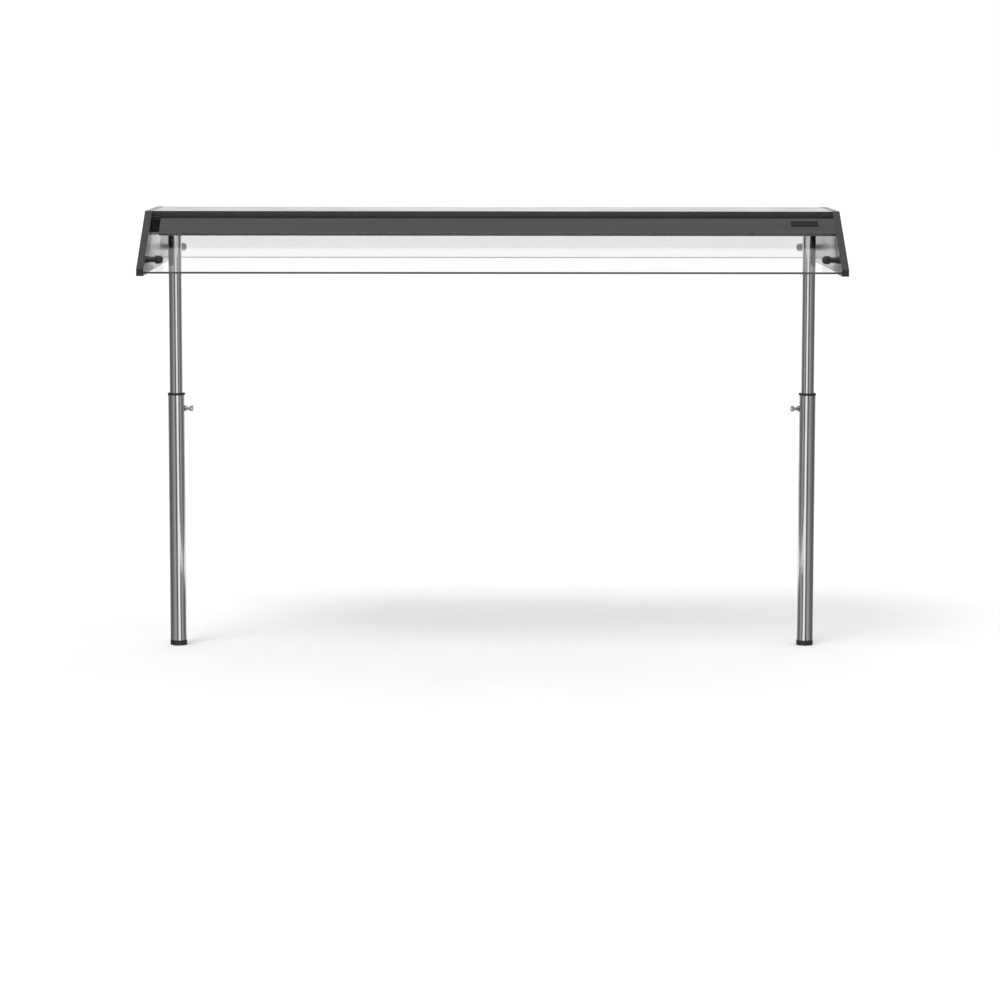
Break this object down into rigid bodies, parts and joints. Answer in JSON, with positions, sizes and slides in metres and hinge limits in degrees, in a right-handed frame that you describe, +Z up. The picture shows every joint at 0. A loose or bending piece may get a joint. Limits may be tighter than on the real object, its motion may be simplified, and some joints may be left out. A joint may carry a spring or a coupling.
{
  "type": "buffet counter sneeze guard",
  "caption": "Height-adjustable hood with sloping glass panes and an under-hood lamp, on two posts that slide in sleeves let into a counter.",
  "frame": {"origin": "midway between the two sleeves' feet, on the plane they stand on", "axes": "+X along the hood's width, +Y to the rear, +Z up along the posts"},
  "size_m": [1.54, 0.724, 0.996],
  "materials": {
    "laminate": "black wood-grain melamine, semi-gloss",
    "edge_band": "black-brown edge banding, satin",
    "rail_wood": "black stained batten",
    "glass": "clear float glass, ground edges",
    "steel": "polished stainless tube",
    "fitting_steel": "bright stainless and zinc fittings",
    "black_plastic": "black moulded plastic",
    "switch_plastic": "black gloss switch plastic",
    "rubber": "black rubber",
    "plate_plastic": "blank black label plate",
    "lamp_metal": "anodised extrusion",
    "lamp_plastic": "black lamp end cap",
    "diffuser": "frosted opal diffuser",
    "circuit": "white solder mask",
    "led": "yellow phosphor chips"
  },
  "bodies": {
    "stand": {"left_sleeve": "steel", "right_sleeve": "steel", "left_top_bush": "black_plastic", "right_top_bush": "black_plastic", "left_foot": "black_plastic", "right_foot": "black_plastic", "left_screw_boss": "fitting_steel", "right_screw_boss": "fitting_steel", "foot_grommet": "rubber"},
    "hood": {"left_end_panel": "laminate", "right_end_panel": "laminate", "top_panel": "laminate", "front_fascia": "laminate", "rear_fascia": "laminate", "left_edge_band": "edge_band", "right_edge_band": "edge_band", "top_edge_bands": "edge_band", "fascia_edge_bands": "edge_band", "front_corner_rail": "rail_wood", "rear_corner_rail": "rail_wood", "front_glass_pane": "glass", "rear_glass_pane": "glass", "left_post_tube": "steel", "right_post_tube": "steel", "left_post_flange": "fitting_steel", "right_post_flange": "fitting_steel", "flange_screws": "fitting_steel", "bracket_screws": "fitting_steel", "panel_screws": "fitting_steel", "peg_bolts": "fitting_steel", "lamp_brackets": "fitting_steel", "left_tube_guide": "black_plastic", "right_tube_guide": "black_plastic", "front_left_peg": "black_plastic", "front_right_peg": "black_plastic", "rear_left_peg": "black_plastic", "rear_right_peg": "black_plastic", "peg_sockets": "black_plastic", "led_driver": "black_plastic", "switch_body": "switch_plastic", "peg_collars": "rubber", "tube_grommet": "rubber", "name_plate": "plate_plastic", "lamp_housing": "lamp_metal", "lamp_end_caps": "lamp_plastic", "lamp_diffuser": "diffuser", "led_board": "circuit", "led_chips": "led"},
    "left_thumb_screw": {"left_thumb_screw": "fitting_steel"},
    "right_thumb_screw": {"right_thumb_screw": "fitting_steel"},
    "rocker": {"switch_rocker": "switch_plastic"},
    "front_left_knob": {"front_left_clamp_knob": "black_plastic"},
    "front_right_knob": {"front_right_clamp_knob": "black_plastic"},
    "rear_left_knob": {"rear_left_clamp_knob": "black_plastic"},
    "rear_right_knob": {"rear_right_clamp_knob": "black_plastic"}
  },
  "joints": [
    {"name": "hood_height", "type": "slide", "parent": "stand", "child": "hood", "axis": [0, 0, 1], "range_m": [-0.225, 0.1]},
    {"name": "left_thumb_screw_turn", "type": "hinge", "parent": "stand", "child": "left_thumb_screw", "pos_m": [-0.687, 0, 0.543], "axis": [1, 0, 0], "continuous": true},
    {"name": "right_thumb_screw_turn", "type": "hinge", "parent": "stand", "child": "right_thumb_screw", "pos_m": [0.687, 0, 0.543], "axis": [1, 0, 0], "continuous": true},
    {"name": "front_left_knob_turn", "type": "hinge", "parent": "hood", "child": "front_left_knob", "pos_m": [-0.7235, -0.3069, 0.89601], "axis": [1, 0, 0], "continuous": true},
    {"name": "front_right_knob_turn", "type": "hinge", "parent": "hood", "child": "front_right_knob", "pos_m": [0.7235, -0.3069, 0.89601], "axis": [1, 0, 0], "continuous": true},
    {"name": "rear_left_knob_turn", "type": "hinge", "parent": "hood", "child": "rear_left_knob", "pos_m": [-0.7235, 0.3069, 0.89601], "axis": [1, 0, 0], "continuous": true},
    {"name": "rear_right_knob_turn", "type": "hinge", "parent": "hood", "child": "rear_right_knob", "pos_m": [0.7235, 0.3069, 0.89601], "axis": [1, 0, 0], "continuous": true},
    {"name": "rocker_tilt", "type": "hinge", "parent": "hood", "child": "rocker", "pos_m": [-0.74325, -0.161, 0.9625], "axis": [1, 0, 0], "range_deg": [-14, 0]}
  ]
}
